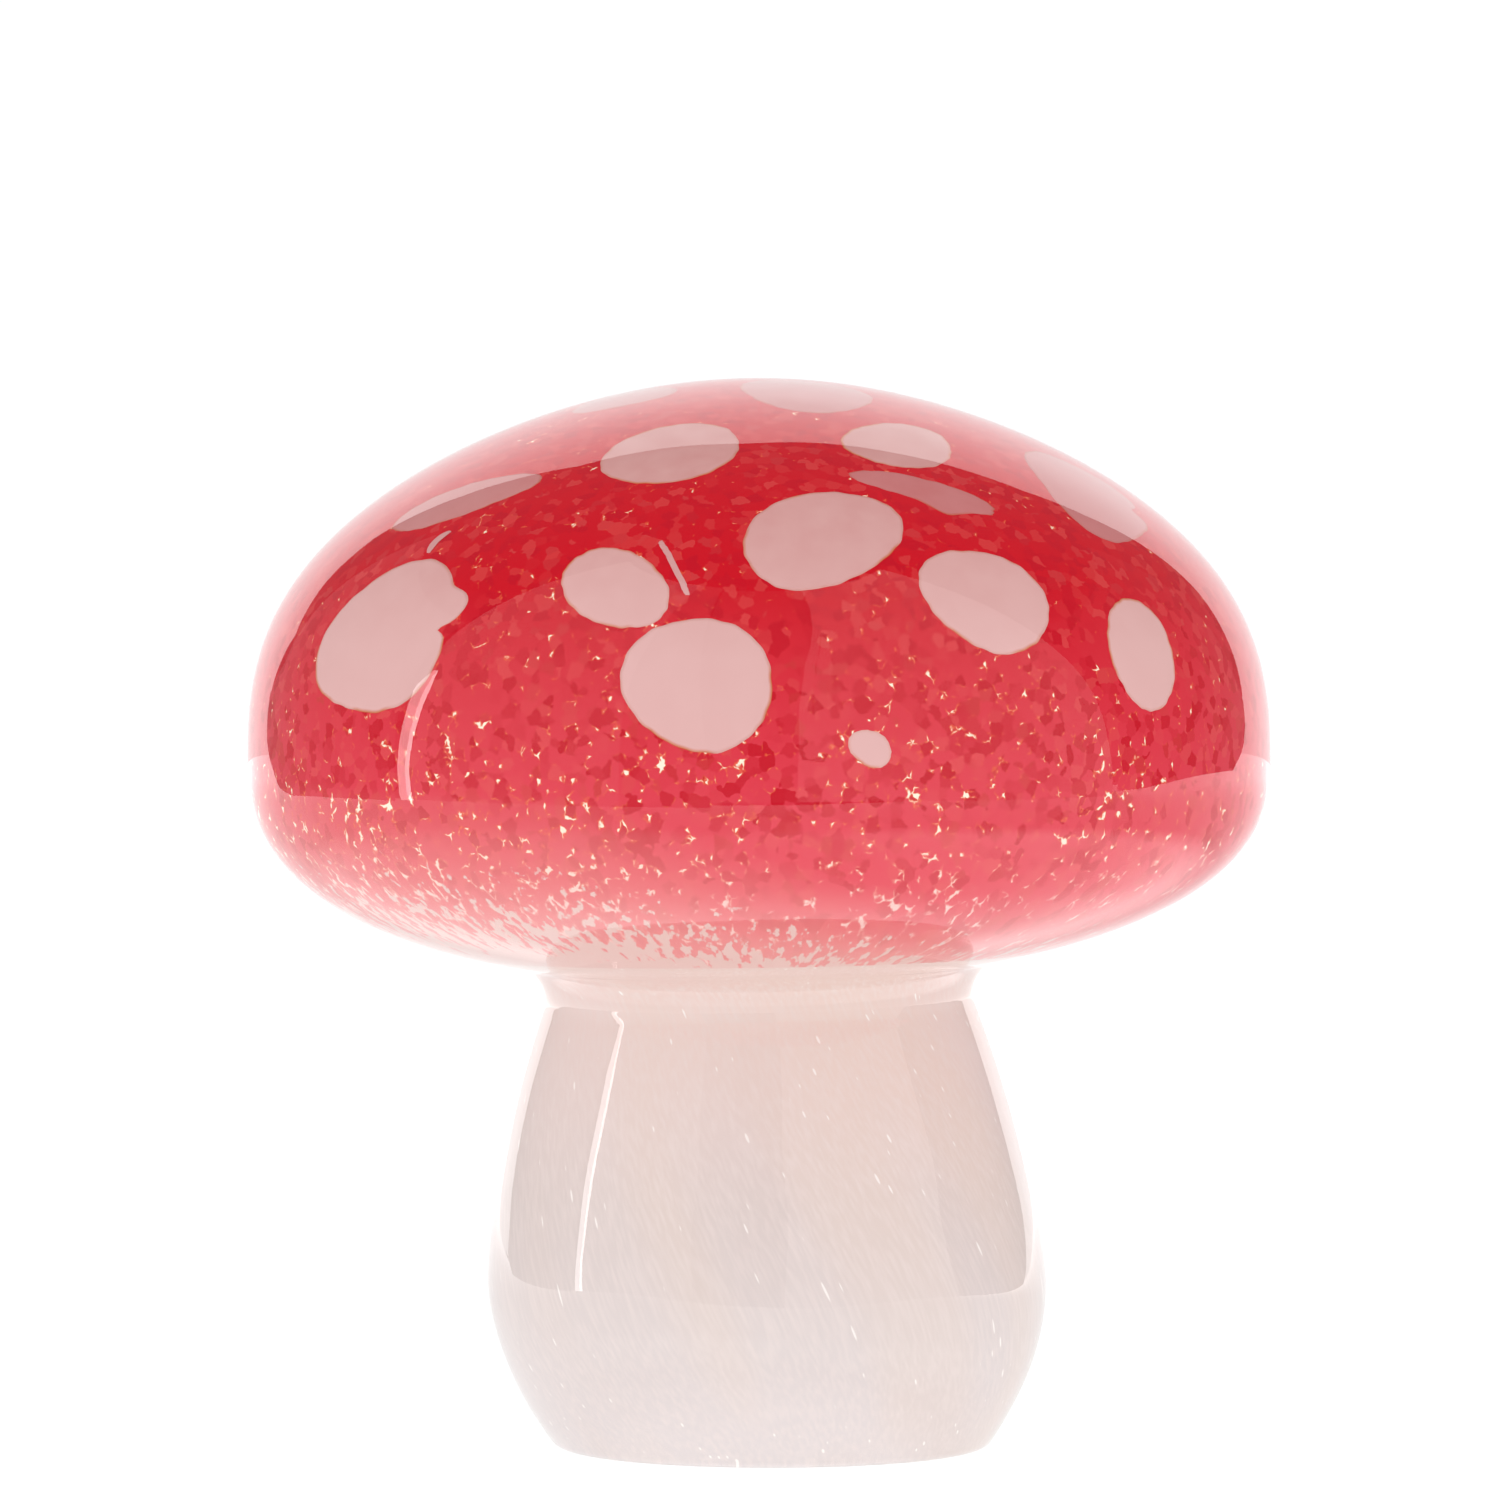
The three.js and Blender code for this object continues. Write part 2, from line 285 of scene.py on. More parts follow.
def down_to(curve, height):
    """The part of a curve above a height, with its last point on that height."""
    last = np.argmax(curve[:, 1] < height) if (curve[:, 1] < height).any() else len(curve) - 1
    before, after = curve[last - 1], curve[last]
    share = (before[1] - height) / (before[1] - after[1])
    return np.concatenate([curve[:last], [before + share * (after - before)]])


print("Frit ends at radius", outline[frit_end, 0].round(2), "after", way[frit_end].round(1), "mm")

# %% [markdown]
# ## Opal bubble and foot seal
# The white bubble makes the stem and lines the cap. Under the red it lies deeper by the coat's thickness,
# and it rises to the level of the red where the coat ends. Its foot is ground flat around the blow hole,
# which a dab of the same glass closes. Opal glass is milky because it is full of fine particles: it has no
# grain, but drawing and turning it left faint streaks that lean down to the right, and a few bubbles
# stretched to white dashes. Noise would not follow the twist by itself, so the mesh carries the place that
# each bit of glass had before it was drawn, and the noise reads that instead of the finished place.

# %% Places before drawing, and the finish of coloured glass
STREAK_LEAN = np.radians(27)
STREAK_STRETCH = 10
GLASS_INDEX = 1.5
MILKY = 0.35


def undrawn(grid):
    """The place of each point before the stem was drawn and twisted: turned back by the streaks' lean for
    every millimetre of height, and with the height shortened by the stretch."""
    x, y, z = grid[..., 0], grid[..., 1], grid[..., 2]
    back = z * np.tan(STREAK_LEAN) / BELLY_RADIUS
    turned_x = x * np.cos(back) - y * np.sin(back)
    turned_y = x * np.sin(back) + y * np.cos(back)
    return np.stack([turned_x, turned_y, z / STREAK_STRETCH], axis=-1) * MM


def under_casing(tree, colour):
    """Finish a coloured glass. It lies under clear glass with no air between them, so it has no shine of
    its own."""
    shader = add(tree, "BsdfPrincipled", {"Base Color": colour, "Roughness": MILKY, "IOR": GLASS_INDEX,
                                          "Specular IOR Level": 0.0})
    add(tree, "OutputMaterial", {"Surface": shader.outputs[0]})


# %% Opal glass
STREAK_WIDTH = 0.5
DASH_SPACING = 0.9
DASH_WIDTH = 0.2
DASH_BLUR = 0.05
TINT_PATCH = 16
FOOT_TINT = (4, "#DFD5D4")
# Painted light: above the foot the stem is made lighter towards the neck, against the cap's shadow, and rosy
# under the cap, as red light thrown down from it.
TINTS_WITH_PAINTED_LIGHT = [(30, "#DFD2CE"), (52, "#EEDBD6"), (58, "#E6C6BF")]


def opal_glass():
    """Opal soda-lime glass, blown: milky and soft in light, with drawn streaks and stretched bubbles. Its
    tint goes from one height to the next, cool at the foot, and holds painted light: lighter up the stem,
    against the cap's shadow, and rosy at the neck, as red light thrown down from the cap."""
    material, tree = blank("opal_soda_lime_glass")
    place = add(tree, "Attribute", attribute_name="undrawn").outputs["Vector"]
    height = add(tree, "SeparateXYZ", {"Vector": add(tree, "TexCoord").outputs["Object"]}).outputs[2]
    below, tint_with_painted_light = FOOT_TINT[0], linear(FOOT_TINT[1])
    # Each step up mixes in painted light: lighter up the stem and rosy at the neck.
    for level, code in TINTS_WITH_PAINTED_LIGHT:
        up = add(tree, "MapRange", {"Value": height, 1: below * MM, 2: level * MM})
        tint_with_painted_light = add(tree, "Mix", {0: up.outputs[0], 6: tint_with_painted_light, 7: linear(code)}, data_type="RGBA").outputs[2]
        below = level
    patch = add(tree, "TexNoise", {"Vector": place, "Scale": 1 / (TINT_PATCH * MM), "Detail": 1.0})
    patch_share = add(tree, "MapRange", {"Value": patch.outputs[0], 1: 0.45, 2: 0.75, 4: 0.4})
    warm = add(tree, "Mix", {0: patch_share.outputs[0], 6: tint_with_painted_light, 7: linear("#E9D4C6")}, data_type="RGBA")
    streak = add(tree, "TexNoise", {"Vector": place, "Scale": 1 / (STREAK_WIDTH * MM), "Detail": 2.0})
    streak_share = add(tree, "MapRange", {"Value": streak.outputs[0], 1: 0.4, 2: 0.8, 4: 0.6})
    streaked = add(tree, "Mix", {0: streak_share.outputs[0], 6: warm.outputs[2], 7: linear("#EDE0DC")},
                   data_type="RGBA")

    bubble = add(tree, "TexVoronoi", {"Vector": place, "Scale": 1 / (DASH_SPACING * MM)})
    chosen = add(tree, "SeparateColor", {"Color": bubble.outputs["Color"]})
    width = add(tree, "Math", {0: chosen.outputs[0], 1: 0.5}, operation="SUBTRACT")
    reach = add(tree, "Math", {0: width.outputs[0], 1: 2 * DASH_WIDTH / DASH_SPACING}, operation="MULTIPLY")
    inside = add(tree, "Math", {0: reach.outputs[0], 1: bubble.outputs["Distance"]}, operation="SUBTRACT")
    dash = add(tree, "Math", {0: inside.outputs[0], 1: 1 / DASH_BLUR}, operation="MULTIPLY", use_clamp=True)
    colour = add(tree, "Mix", {0: dash.outputs[0], 6: streaked.outputs[2], 7: linear("#FBF4F0")},
                 data_type="RGBA")
    under_casing(tree, colour.outputs[2])
    return material


opal = opal_glass()
print("Made", opal.name)

# %% Opal bubble
BLOW_HOLE = 9
FLOOR_WALL = 6
RISE_TO_EDGE = 8
INSIDE_EVERY = 3

coat_depth = CASING_WALL + SEAM
coat_edge = ease(way[frit_end] - RISE_TO_EDGE, way[frit_end], way)
opal_depth = coat_depth + (SEAM + FRIT_WALL) * (1 - coat_edge)
opal_outside = down_to(outline - opal_depth[:, None] * out, 0)
opal_inside = down_to(outline - (opal_depth + OPAL_WALL)[:, None] * out, FLOOR_WALL)
opal_foot = np.array([[BLOW_HOLE, 0], [BLOW_HOLE, FLOOR_WALL]])
bubble_grid = turned(np.concatenate([opal_outside, opal_foot, opal_inside[::-INSIDE_EVERY]]))
bubble = skin("opal_bubble_skin", bubble_grid, undrawn=undrawn(bubble_grid))
dress(bubble, opal, "opal_glass", "opal_bubble")

# %% Foot seal
SEAL_CROWN = 2.5
SEAL_RINGS = 24
SEAL_AROUND = 72

seal_radius = BLOW_HOLE - SEAM
lift = np.linspace(QUARTER, 0, SEAL_RINGS)
seal_dome = np.stack([seal_radius * np.cos(lift), FLOOR_WALL + SEAL_CROWN * np.sin(lift)], axis=-1)
seal_grid = turned(np.concatenate([seal_dome, [[seal_radius, 0], [0, 0]]]), around=SEAL_AROUND)
seal = skin("foot_seal_dab", seal_grid, undrawn=undrawn(seal_grid))
dress(seal, opal, "opal_glass", "foot_seal")

# %% [markdown]
# ## Red frit coat
# Frit is crushed glass. The hot bubble was rolled in red chips a millimetre or two across, and they melted
# into a skin. Seen close, the chips differ a little in depth of red, and where they did not quite meet, the
# white below shows through in small gaps with an orange fringe, painted brighter than the white itself as
# light shining through them from behind. When the neck was drawn in, the chips on the underside were pulled
# into streaks towards it, and they thin out before they reach it. A cell pattern gives the chips and their
# gaps. It reads the place that each chip had on the bubble before the neck was drawn, which is the outline
# with its steps shortened where the glass was stretched.
# The looks change on the way down from the pole, so each change is named with the two drops, in
# millimetres, that it happens between.

# %% Chips of several reds
# Painted light: the red lightens on the way down partly as light on the lower cap, and its pale end towards
# the neck partly paints the table mirrored there.
RED_LIGHTENS_WITH_PAINTED_LIGHT = (55.0, 82.0)
DEEP_FADES = (76.0, 90.0)
RED_THINS_WITH_PAINTED_SHEEN = (87.0, 103.0)


def chip_reds(tree, chip, drop, sooner):
    """The red of a chip, from the random colour of its cell: some are deeper and some are thinner. All get
    lighter on the way down, partly as thinner red and partly as painted light on the lower cap, and pale
    where they thin out towards the neck, which also holds a painted reflection of the bright table."""
    tone = add(tree, "SeparateColor", {"Color": chip})
    most = add(tree, "MapRange", {"Value": drop, 1: DEEP_FADES[0], 2: DEEP_FADES[1], 3: 1.0, 4: 0.6})
    deep = add(tree, "MapRange", {"Value": tone.outputs[0], 1: 0.5, 2: 1.0, 4: most.outputs[0]})
    down = add(tree, "MapRange", {"Value": drop, 1: RED_LIGHTENS_WITH_PAINTED_LIGHT[0], 2: RED_LIGHTENS_WITH_PAINTED_LIGHT[1]})
    middle = add(tree, "Mix", {0: down.outputs[0], 6: linear("#D2081F"), 7: linear("#E34051")},
                 data_type="RGBA")
    red = add(tree, "Mix", {0: deep.outputs[0], 6: middle.outputs[2], 7: linear("#C80420")},
              data_type="RGBA")
    thin = add(tree, "MapRange", {"Value": tone.outputs[1], 1: 0.7, 2: 1.0, 4: 0.36})
    chip_red = add(tree, "Mix", {0: thin.outputs[0], 6: red.outputs[2], 7: linear("#E55A55")},
                   data_type="RGBA")
    # The pale end: thinner red over the white, and a painted reflection of the bright table.
    spread = add(tree, "MapRange", {"Value": sooner, 1: RED_THINS_WITH_PAINTED_SHEEN[0], 2: RED_THINS_WITH_PAINTED_SHEEN[1], 4: 0.6})
    pale_with_painted_sheen = add(tree, "Mix", {0: spread.outputs[0], 6: chip_red.outputs[2], 7: linear("#F0A09C")},
               data_type="RGBA")
    return pale_with_painted_sheen.outputs[2]


# %% Gaps between the chips
GAP_LENGTH = 1.4
GAP_PATCH = 9.0
PATCH_SHARE = 0.25
GAP_LIMIT = (-0.815, -0.72)
LEFT_SLOPE = (-0.4, -2.2)
GAPS_OPEN = (50.0, 78.0)
GAPS_GO_LEFT = (78.0, 95.0)
LEFT_UNTIL = 4.0
FLANK = (30.0, 48.0)
FLANK_OPENS = (76.0, 84.0)
FLANK_SHUT = -0.06
FRINGE = (-0.08, 0.02)
CORE = (0.0, 0.07)
GLINTS_FADE = (80.0, 92.0)
FRINGE_PALES = (82.0, 92.0)


def gap(tree, place, drop, side, edge):
    """How deep a point lies inside a gap, below zero outside it: fine noise plus a share of patchy noise,
    less a limit and less the distance from the chip's edge. The limit drops on the way down and, on the
    underside, to the left. It is raised on the flanks of the cap."""
    grain = add(tree, "TexNoise", {"Vector": place, "Scale": 1 / (GAP_LENGTH * MM), "Detail": 2.0})
    patch = add(tree, "TexNoise", {"Vector": place, "Scale": 1 / (GAP_PATCH * MM), "Detail": 1.0})
    lower = add(tree, "MapRange", {"Value": drop, 1: GAPS_OPEN[0], 2: GAPS_OPEN[1], 3: GAP_LIMIT[0],
                                   4: GAP_LIMIT[1]})
    slope = add(tree, "MapRange", {"Value": drop, 1: GAPS_GO_LEFT[0], 2: GAPS_GO_LEFT[1], 3: LEFT_SLOPE[0],
                                   4: LEFT_SLOPE[1]})
    left = add(tree, "Math", {0: side, 1: LEFT_UNTIL * MM}, operation="MINIMUM")
    sided = add(tree, "Math", {0: left.outputs[0], 1: slope.outputs[0], 2: lower.outputs[0]},
                operation="MULTIPLY_ADD")
    across = add(tree, "Math", {0: side}, operation="ABSOLUTE")
    flank = add(tree, "MapRange", {"Value": across.outputs[0], 1: FLANK[0] * MM, 2: FLANK[1] * MM})
    shut = add(tree, "MapRange", {"Value": drop, 1: FLANK_OPENS[0], 2: FLANK_OPENS[1], 3: FLANK_SHUT,
                                  4: 0.0})
    limit = add(tree, "Math", {0: flank.outputs[0], 1: shut.outputs[0], 2: sided.outputs[0]},
                operation="MULTIPLY_ADD")
    noise = add(tree, "Math", {0: patch.outputs[0], 1: PATCH_SHARE, 2: grain.outputs[0]},
                operation="MULTIPLY_ADD")
    opened = add(tree, "Math", {0: noise.outputs[0], 1: limit.outputs[0]}, operation="ADD")
    return add(tree, "Math", {0: opened.outputs[0], 1: edge}, operation="SUBTRACT").outputs[0]


def with_gaps(tree, red, inside, drop):
    """Gaps in the red: a fringe around a core, painted brighter than the white below as light shining
    through from behind. Higher up the fringe is orange and the core shines, and where the glass was drawn
    both are pale."""
    fringe = add(tree, "MapRange", {"Value": inside, 1: FRINGE[0], 2: FRINGE[1], 4: 0.85})
    clear = add(tree, "MapRange", {"Value": drop, 1: GLINTS_FADE[0], 2: GLINTS_FADE[1], 3: 1.0, 4: 0.6})
    core = add(tree, "MapRange", {"Value": inside, 1: CORE[0], 2: CORE[1], 4: clear.outputs[0]})
    drawn = add(tree, "MapRange", {"Value": drop, 1: FRINGE_PALES[0], 2: FRINGE_PALES[1]})
    rim = add(tree, "Mix", {0: drawn.outputs[0], 6: linear("#EE6A40"), 7: linear("#F0A49C")},
              data_type="RGBA")
    # Painted glow: the core is the white below, painted brighter as light shining through from behind.
    white_with_painted_glow = add(tree, "Mix", {0: drawn.outputs[0], 6: linear("#FFF3DC"), 7: linear("#FADCD5")},
                data_type="RGBA")
    fringed = add(tree, "Mix", {0: fringe.outputs[0], 6: red, 7: rim.outputs[2]}, data_type="RGBA")
    cored = add(tree, "Mix", {0: core.outputs[0], 6: fringed.outputs[2], 7: white_with_painted_glow.outputs[2]},
                data_type="RGBA")
    return cored.outputs[2]


# %% Red frit glass
CHIP = 1.35
CHIP_RAGGED = 0.7
LEFT_SOONER = 8.5
RIGHT_LATER = 3.5
CHANGES_SIDE = 20.0
TONGUE = 1.1
TONGUE_REACH = 11.0
LAST_RED = 4.5
LAST_RED_BLUR = 1.5


def red_frit_glass(coat_length):
    """Red soda-lime glass frit, melted on: chips of several reds, pale gaps between some of them, and an
    edge in ragged tongues, which comes sooner on the left. The drop attribute is the way down from the
    pole in millimetres."""
    material, tree = blank("red_soda_lime_frit")
    place = add(tree, "Attribute", attribute_name="blown").outputs["Vector"]
    drop = add(tree, "Attribute", attribute_name="drop").outputs["Fac"]
    side = add(tree, "SeparateXYZ", {"Vector": place}).outputs[0]
    early = add(tree, "MapRange", {"Value": side, 1: -CHANGES_SIDE * MM, 2: CHANGES_SIDE * MM,
                                   3: LEFT_SOONER, 4: -RIGHT_LATER})
    sooner = add(tree, "Math", {0: drop, 1: early.outputs[0]}, operation="ADD").outputs[0]
    rough = add(tree, "TexNoise", {"Vector": place, "Scale": 1 / (CHIP_RAGGED * MM), "Detail": 1.0})
    ragged = add(tree, "VectorMath", {0: rough.outputs["Color"], 1: [CHIP_RAGGED * MM] * 3, 2: place},
                 operation="MULTIPLY_ADD")
    cells = {"Vector": ragged.outputs[0], "Scale": 1 / (CHIP * MM)}
    chips = add(tree, "TexVoronoi", cells)
    edges = add(tree, "TexVoronoi", cells, feature="DISTANCE_TO_EDGE")
    red = chip_reds(tree, chips.outputs["Color"], drop, sooner)
    inside = gap(tree, place, drop, side, edges.outputs["Distance"])
    gapped = with_gaps(tree, red, inside, drop)

    tongue = add(tree, "TexNoise", {"Vector": place, "Scale": 1 / (TONGUE * MM), "Detail": 3.0})
    reach = add(tree, "MapRange", {"Value": tongue.outputs[0], 1: 0.3, 2: 0.7,
                                   3: -TONGUE_REACH, 4: TONGUE_REACH})
    ragged_drop = add(tree, "Math", {0: sooner, 1: reach.outputs[0]}, operation="ADD")
    last_red = coat_length - LAST_RED
    bare = add(tree, "MapRange", {"Value": ragged_drop.outputs[0], 1: last_red - LAST_RED_BLUR,
                                  2: last_red + LAST_RED_BLUR})
    colour = add(tree, "Mix", {0: bare.outputs[0], 6: gapped, 7: linear("#E6BFB8")}, data_type="RGBA")
    under_casing(tree, colour.outputs[2])
    return material


# %% Frit coat
COAT_DIP = 0.1
STRETCH_FROM = 84
STRETCH_MOST = 2.5

outer_depth = coat_depth + COAT_DIP * coat_edge
inner_depth = coat_depth + FRIT_WALL * (1 - coat_edge) + 2 * COAT_DIP * coat_edge
coat_outside = (outline - outer_depth[:, None] * out)[:frit_end]
coat_inside = (outline - inner_depth[:, None] * out)[:frit_end]
coat_way = travelled(coat_outside)
stretch = 1 / (1 + STRETCH_MOST * ease(STRETCH_FROM, coat_way[-1], coat_way))
steps = np.diff(coat_outside, axis=0) * stretch[1:, None]
blown_curve = coat_outside[0] + np.concatenate([[[0, 0]], np.cumsum(steps, axis=0)])

coat_profile = np.concatenate([coat_outside, coat_inside[::-1]])
blown_profile = np.concatenate([blown_curve, blown_curve[::-1]])
drop_profile = np.concatenate([coat_way, coat_way[::-1]])
frit_coat = skin("red_frit_skin", turned(coat_profile), blown=turned(blown_profile) * MM,
                 drop=np.repeat(drop_profile[:, None], AROUND, axis=1))
dress(frit_coat, red_frit_glass(coat_way[-1]), "red_frit_glass", "red_frit_coat")
print("Coat runs", coat_way[-1].round(1), "mm down from the pole")

# %% [markdown]
# ## White dabs and threads
# Dabs of dense white were touched onto the red and rolled flush, so they are flat puddles with an edge that
# the chips nibble at. Each is laid out in the plane that touches the coat at its middle: an ellipse,
# swollen three ways like an egg, with a fine ragged edge. A flat outline could be cut into the red by a
# boolean, but laying a grid of rings onto the cap keeps the faces even. A point of the plane is carried onto
# the coat by a ray to the cap's centre, and moved until it stands straight above its place in the plane.

# %% Laying a dab onto the coat
CENTRE = np.array([0, 0, EQUATOR])
SETTLE = 4

coat_line = outline[:frit_end] - coat_depth * out[:frit_end]
coat_drop = travelled(coat_line)
coat_polar = np.arctan2(coat_line[:, 0], coat_line[:, 1] - EQUATOR)
coat_reach = np.hypot(coat_line[:, 0], coat_line[:, 1] - EQUATOR)


def along_coat(place, places, values):
    """The coat's values, each a column, at the given places."""
    return np.stack([np.interp(place, places, values[:, k]) for k in range(values.shape[1])], axis=-1)


def touching_plane(at, drop):
    """Middle, sideways and upwards directions of the plane that touches the coat there."""
    angle = np.radians(at)
    point = along_coat(drop, coat_drop, coat_line)
    normal = along_coat(drop, coat_drop, out[:frit_end])
    front = np.array([np.sin(angle), -np.cos(angle), 0])
    sideways = np.array([np.cos(angle), np.sin(angle), 0])
    middle = front * point[0] + [0, 0, point[1]]
    outwards = front * normal[0] + [0, 0, normal[1]]
    return middle, sideways, np.cross(outwards, sideways)


def onto_coat(points):
    """Carry points onto the coat along rays from the cap's centre. Gives them with the coat's normals."""
    ray = points - CENTRE
    flat = np.hypot(ray[..., 0], ray[..., 1])
    polar = np.arctan2(flat, ray[..., 2])
    grown = np.interp(polar, coat_polar, coat_reach) / np.linalg.norm(ray, axis=-1)
    normal = along_coat(polar, coat_polar, out[:frit_end])
    facing = ray[..., :2] / flat.clip(1e-6)[..., None]
    landed = CENTRE + ray * grown[..., None]
    return landed, np.concatenate([facing * normal[..., :1], normal[..., 1:]], axis=-1)


def lay(at, drop, x, y, height):
    """Lay plane points x, y onto the coat, raised by a height along its normals."""
    middle, sideways, upwards = touching_plane(at, drop)
    aim = middle + x[..., None] * sideways + y[..., None] * upwards
    for _ in range(SETTLE):
        landed, normal = onto_coat(aim)
        off = landed - middle
        aim = aim + (x - off @ sideways)[..., None] * sideways + (y - off @ upwards)[..., None] * upwards
    return stance(landed + height[..., None] * normal)


# %% [markdown]
# The white is dense, with a faint cloudiness, and it turns orange-brown in a hair-thin line along some of
# its edge, where white and red glass met in the heat. The grid gives every point its distance from the edge
# in millimetres, and the material reads that. Towards the top of the cap the white is painted darker and
# redder, as shade where less light reaches it, and a dab that was smeared thin lets some red through.

# %% White dab glass
CLOUD = 4.0
# Painted shade: between these heights the dabs turn darker and redder towards the top of the cap.
SHADED_TOWARDS_TOP = (95, 122)
EDGE_LINE = 0.4
EDGE_PATCH = 6.0


def white_dab_glass():
    """Dense opal white glass: nearly even, with faint clouds and an orange-brown line along parts of the
    edge, and painted shade that makes it darker and redder towards the top of the cap."""
    material, tree = blank("dense_opal_white_glass")
    place = add(tree, "TexCoord").outputs["Object"]
    inset = add(tree, "Attribute", attribute_name="inset").outputs["Fac"]
    smeared = add(tree, "Attribute", attribute_name="smeared").outputs["Fac"]
    height = add(tree, "SeparateXYZ", {"Vector": place}).outputs[2]
    # Painted shade towards the top of the cap.
    up = add(tree, "MapRange", {"Value": height, 1: SHADED_TOWARDS_TOP[0] * MM, 2: SHADED_TOWARDS_TOP[1] * MM})
    tint_with_painted_light = add(tree, "Mix", {0: up.outputs[0], 6: linear("#E3B2AF"), 7: linear("#D08A86")},
               data_type="RGBA")
    cloud = add(tree, "TexNoise", {"Vector": place, "Scale": 1 / (CLOUD * MM), "Detail": 3.0})
    cloudy = add(tree, "MapRange", {"Value": cloud.outputs[0], 1: 0.3, 2: 0.7, 4: 0.3})
    white = add(tree, "Mix", {0: cloudy.outputs[0], 6: tint_with_painted_light.outputs[2], 7: linear("#E8BAB7")},
                data_type="RGBA")
    patch = add(tree, "TexNoise", {"Vector": place, "Scale": 1 / (EDGE_PATCH * MM), "Detail": 2.0})
    burnt = add(tree, "MapRange", {"Value": patch.outputs[0], 1: 0.45, 2: 0.62, 3: 0.2, 4: 1.0})
    near = add(tree, "MapRange", {"Value": inset, 1: 0.0, 2: EDGE_LINE, 3: 1.0, 4: 0.0})
    line = add(tree, "Math", {0: near.outputs[0], 1: burnt.outputs[0]}, operation="MULTIPLY")
    edged = add(tree, "Mix", {0: line.outputs[0], 6: white.outputs[2], 7: linear("#D2703A")},
                data_type="RGBA")
    colour = add(tree, "Mix", {0: smeared, 6: edged.outputs[2], 7: linear("#BC323C")}, data_type="RGBA")
    under_casing(tree, colour.outputs[2])
    return material


dab_white = white_dab_glass()
print("Made", dab_white.name)

# %% [markdown]
# The list repeats the places of the CAD model: angle from the front, way down the coat, length, width,
# turn, and how much and where the outline swells. The first fourteen show in front, and the rest are spread
# over the back in the same manner. Three dabs in front have a tail, a hook or a notch, which lobes add to
# the rim.

# %% White dabs
DABS = [
    (34, 9.5, 17.5, 14.5, 70, 0.05, 40),
    (-20.3, 29.3, 15.9, 14.7, 45, 0.02, 37),
    (35.2, 27.9, 14.6, 11.2, 19, 0.05, 19),
    (30.6, 38.5, 17.7, 4.8, -31, 0, 0),
    (9.4, 46.1, 19.8, 14.4, 30, 0.03, 103),
    (-19.2, 54, 14.3, 9.6, -29, 0.02, 6),
    (-52.4, 61.5, 21.7, 18, 13, 0.07, 67),
    (-7.2, 65.6, 17.3, 14.9, -16, 0.03, 65),
    (30.4, 55.8, 15.8, 13.4, -18, 0.03, 44),
    (52.2, 63.6, 13.1, 10.9, 70, 0.02, 95),
    (69, 41.8, 20.5, 15.4, 30, 0.08, 59),
    (12.7, 73, 5.2, 3.9, -30, 0.03, 74),
    (-56.5, 42, 19.5, 7.5, 33, 0.05, 20),
    (-79, 15.4, 12.1, 11.7, 0, 0.08, 45),
    (106, 58, 15.2, 13.2, 15, 0.04, 10),
    (118, 32, 16.4, 13.4, -25, 0.05, 50),
    (134, 67.5, 17.8, 15.2, 40, 0.05, 20),
    (143, 45.5, 13.8, 11.2, -60, 0.06, 0),
    (166, 59, 19.6, 16.2, 10, 0.04, 35),
    (172, 27.5, 16, 13.8, 65, 0.05, 15),
    (192, 72, 5.8, 4.6, 20, 0.03, 0),
    (198, 44.5, 12.4, 9.8, -35, 0.05, 45),
    (214, 62, 17.2, 14.8, 55, 0.04, 5),
    (226, 35, 18, 13.6, -15, 0.06, 30),
    (248, 54.5, 16.4, 14, 30, 0.04, 55),
]
LOBES = {
    4: [(1.6, -105, 15), (-1.0, -31, 24)],
    7: [(2.4, 28, 13), (-1.5, 8, 4)],
    11: [(-2.0, -40, 9)],
}
SMEARED = {1: 0.4, 4: 0.5, 11: 0.5, 13: 0.35, 14: 0.4}
PROUD = 0.08
DAB_DEPTH = 0.8
NIBBLE = 0.17
NIBBLE_FULL = 14.0
NIBBLE_WAVES = np.array([5, 7, 11, 16, 23])
NIBBLE_SEED = 7
RINGS = 22
SPOKES = 120


def dab_rim(length, width, turn, egg, toward, angle, phases, lobes=(), blunt=1.0):
    """An ellipse times one plus the egg share of a cosine of three times the angle, plus small waves, all
    turned. A lobe adds a bell curve of the angle: its height, its middle and its half width in degrees. A
    blunt rim takes the cosine and sine to a power below one, which squares its ends."""
    tilt = np.radians(turn)
    swell = 1 + egg * np.cos(3 * (angle - np.radians(toward)))
    nibble = NIBBLE * min(1.0, length / NIBBLE_FULL)
    waves = nibble * np.sin(NIBBLE_WAVES[:, None] * angle + phases[:, None]).mean(axis=0)
    for height, middle, spread in lobes:
        off = np.angle(np.exp(1j * (angle + tilt - np.radians(middle))))
        waves = waves + height * np.exp(-(off / np.radians(spread)) ** 2)
    x = (length / 2 * swell + waves) * np.sign(np.cos(angle)) * np.abs(np.cos(angle)) ** blunt
    y = (width / 2 * swell + waves) * np.sign(np.sin(angle)) * np.abs(np.sin(angle)) ** blunt
    return np.stack([x * np.cos(tilt) - y * np.sin(tilt), x * np.sin(tilt) + y * np.cos(tilt)])


def puddle(at, drop, rim):
    """A flat puddle inside a rim: rings out from the middle on top, and back to the middle underneath.
    The top is level and dips at the edge like the eighth power of the way out, the bottom is a bowl."""
    share = np.concatenate([np.linspace(0, 1, RINGS), np.linspace(1, 0, RINGS // 2)])
    top = np.arange(len(share)) < RINGS
    height = np.where(top, PROUD * (1.1 - share ** 8), -DAB_DEPTH * (1.1 - share ** 4))
    x, y = share[:, None] * rim[0], share[:, None] * rim[1]
    inset = (1 - share)[:, None] * np.hypot(*rim)
    return lay(at, drop, x, y, height[:, None] + 0 * x), inset


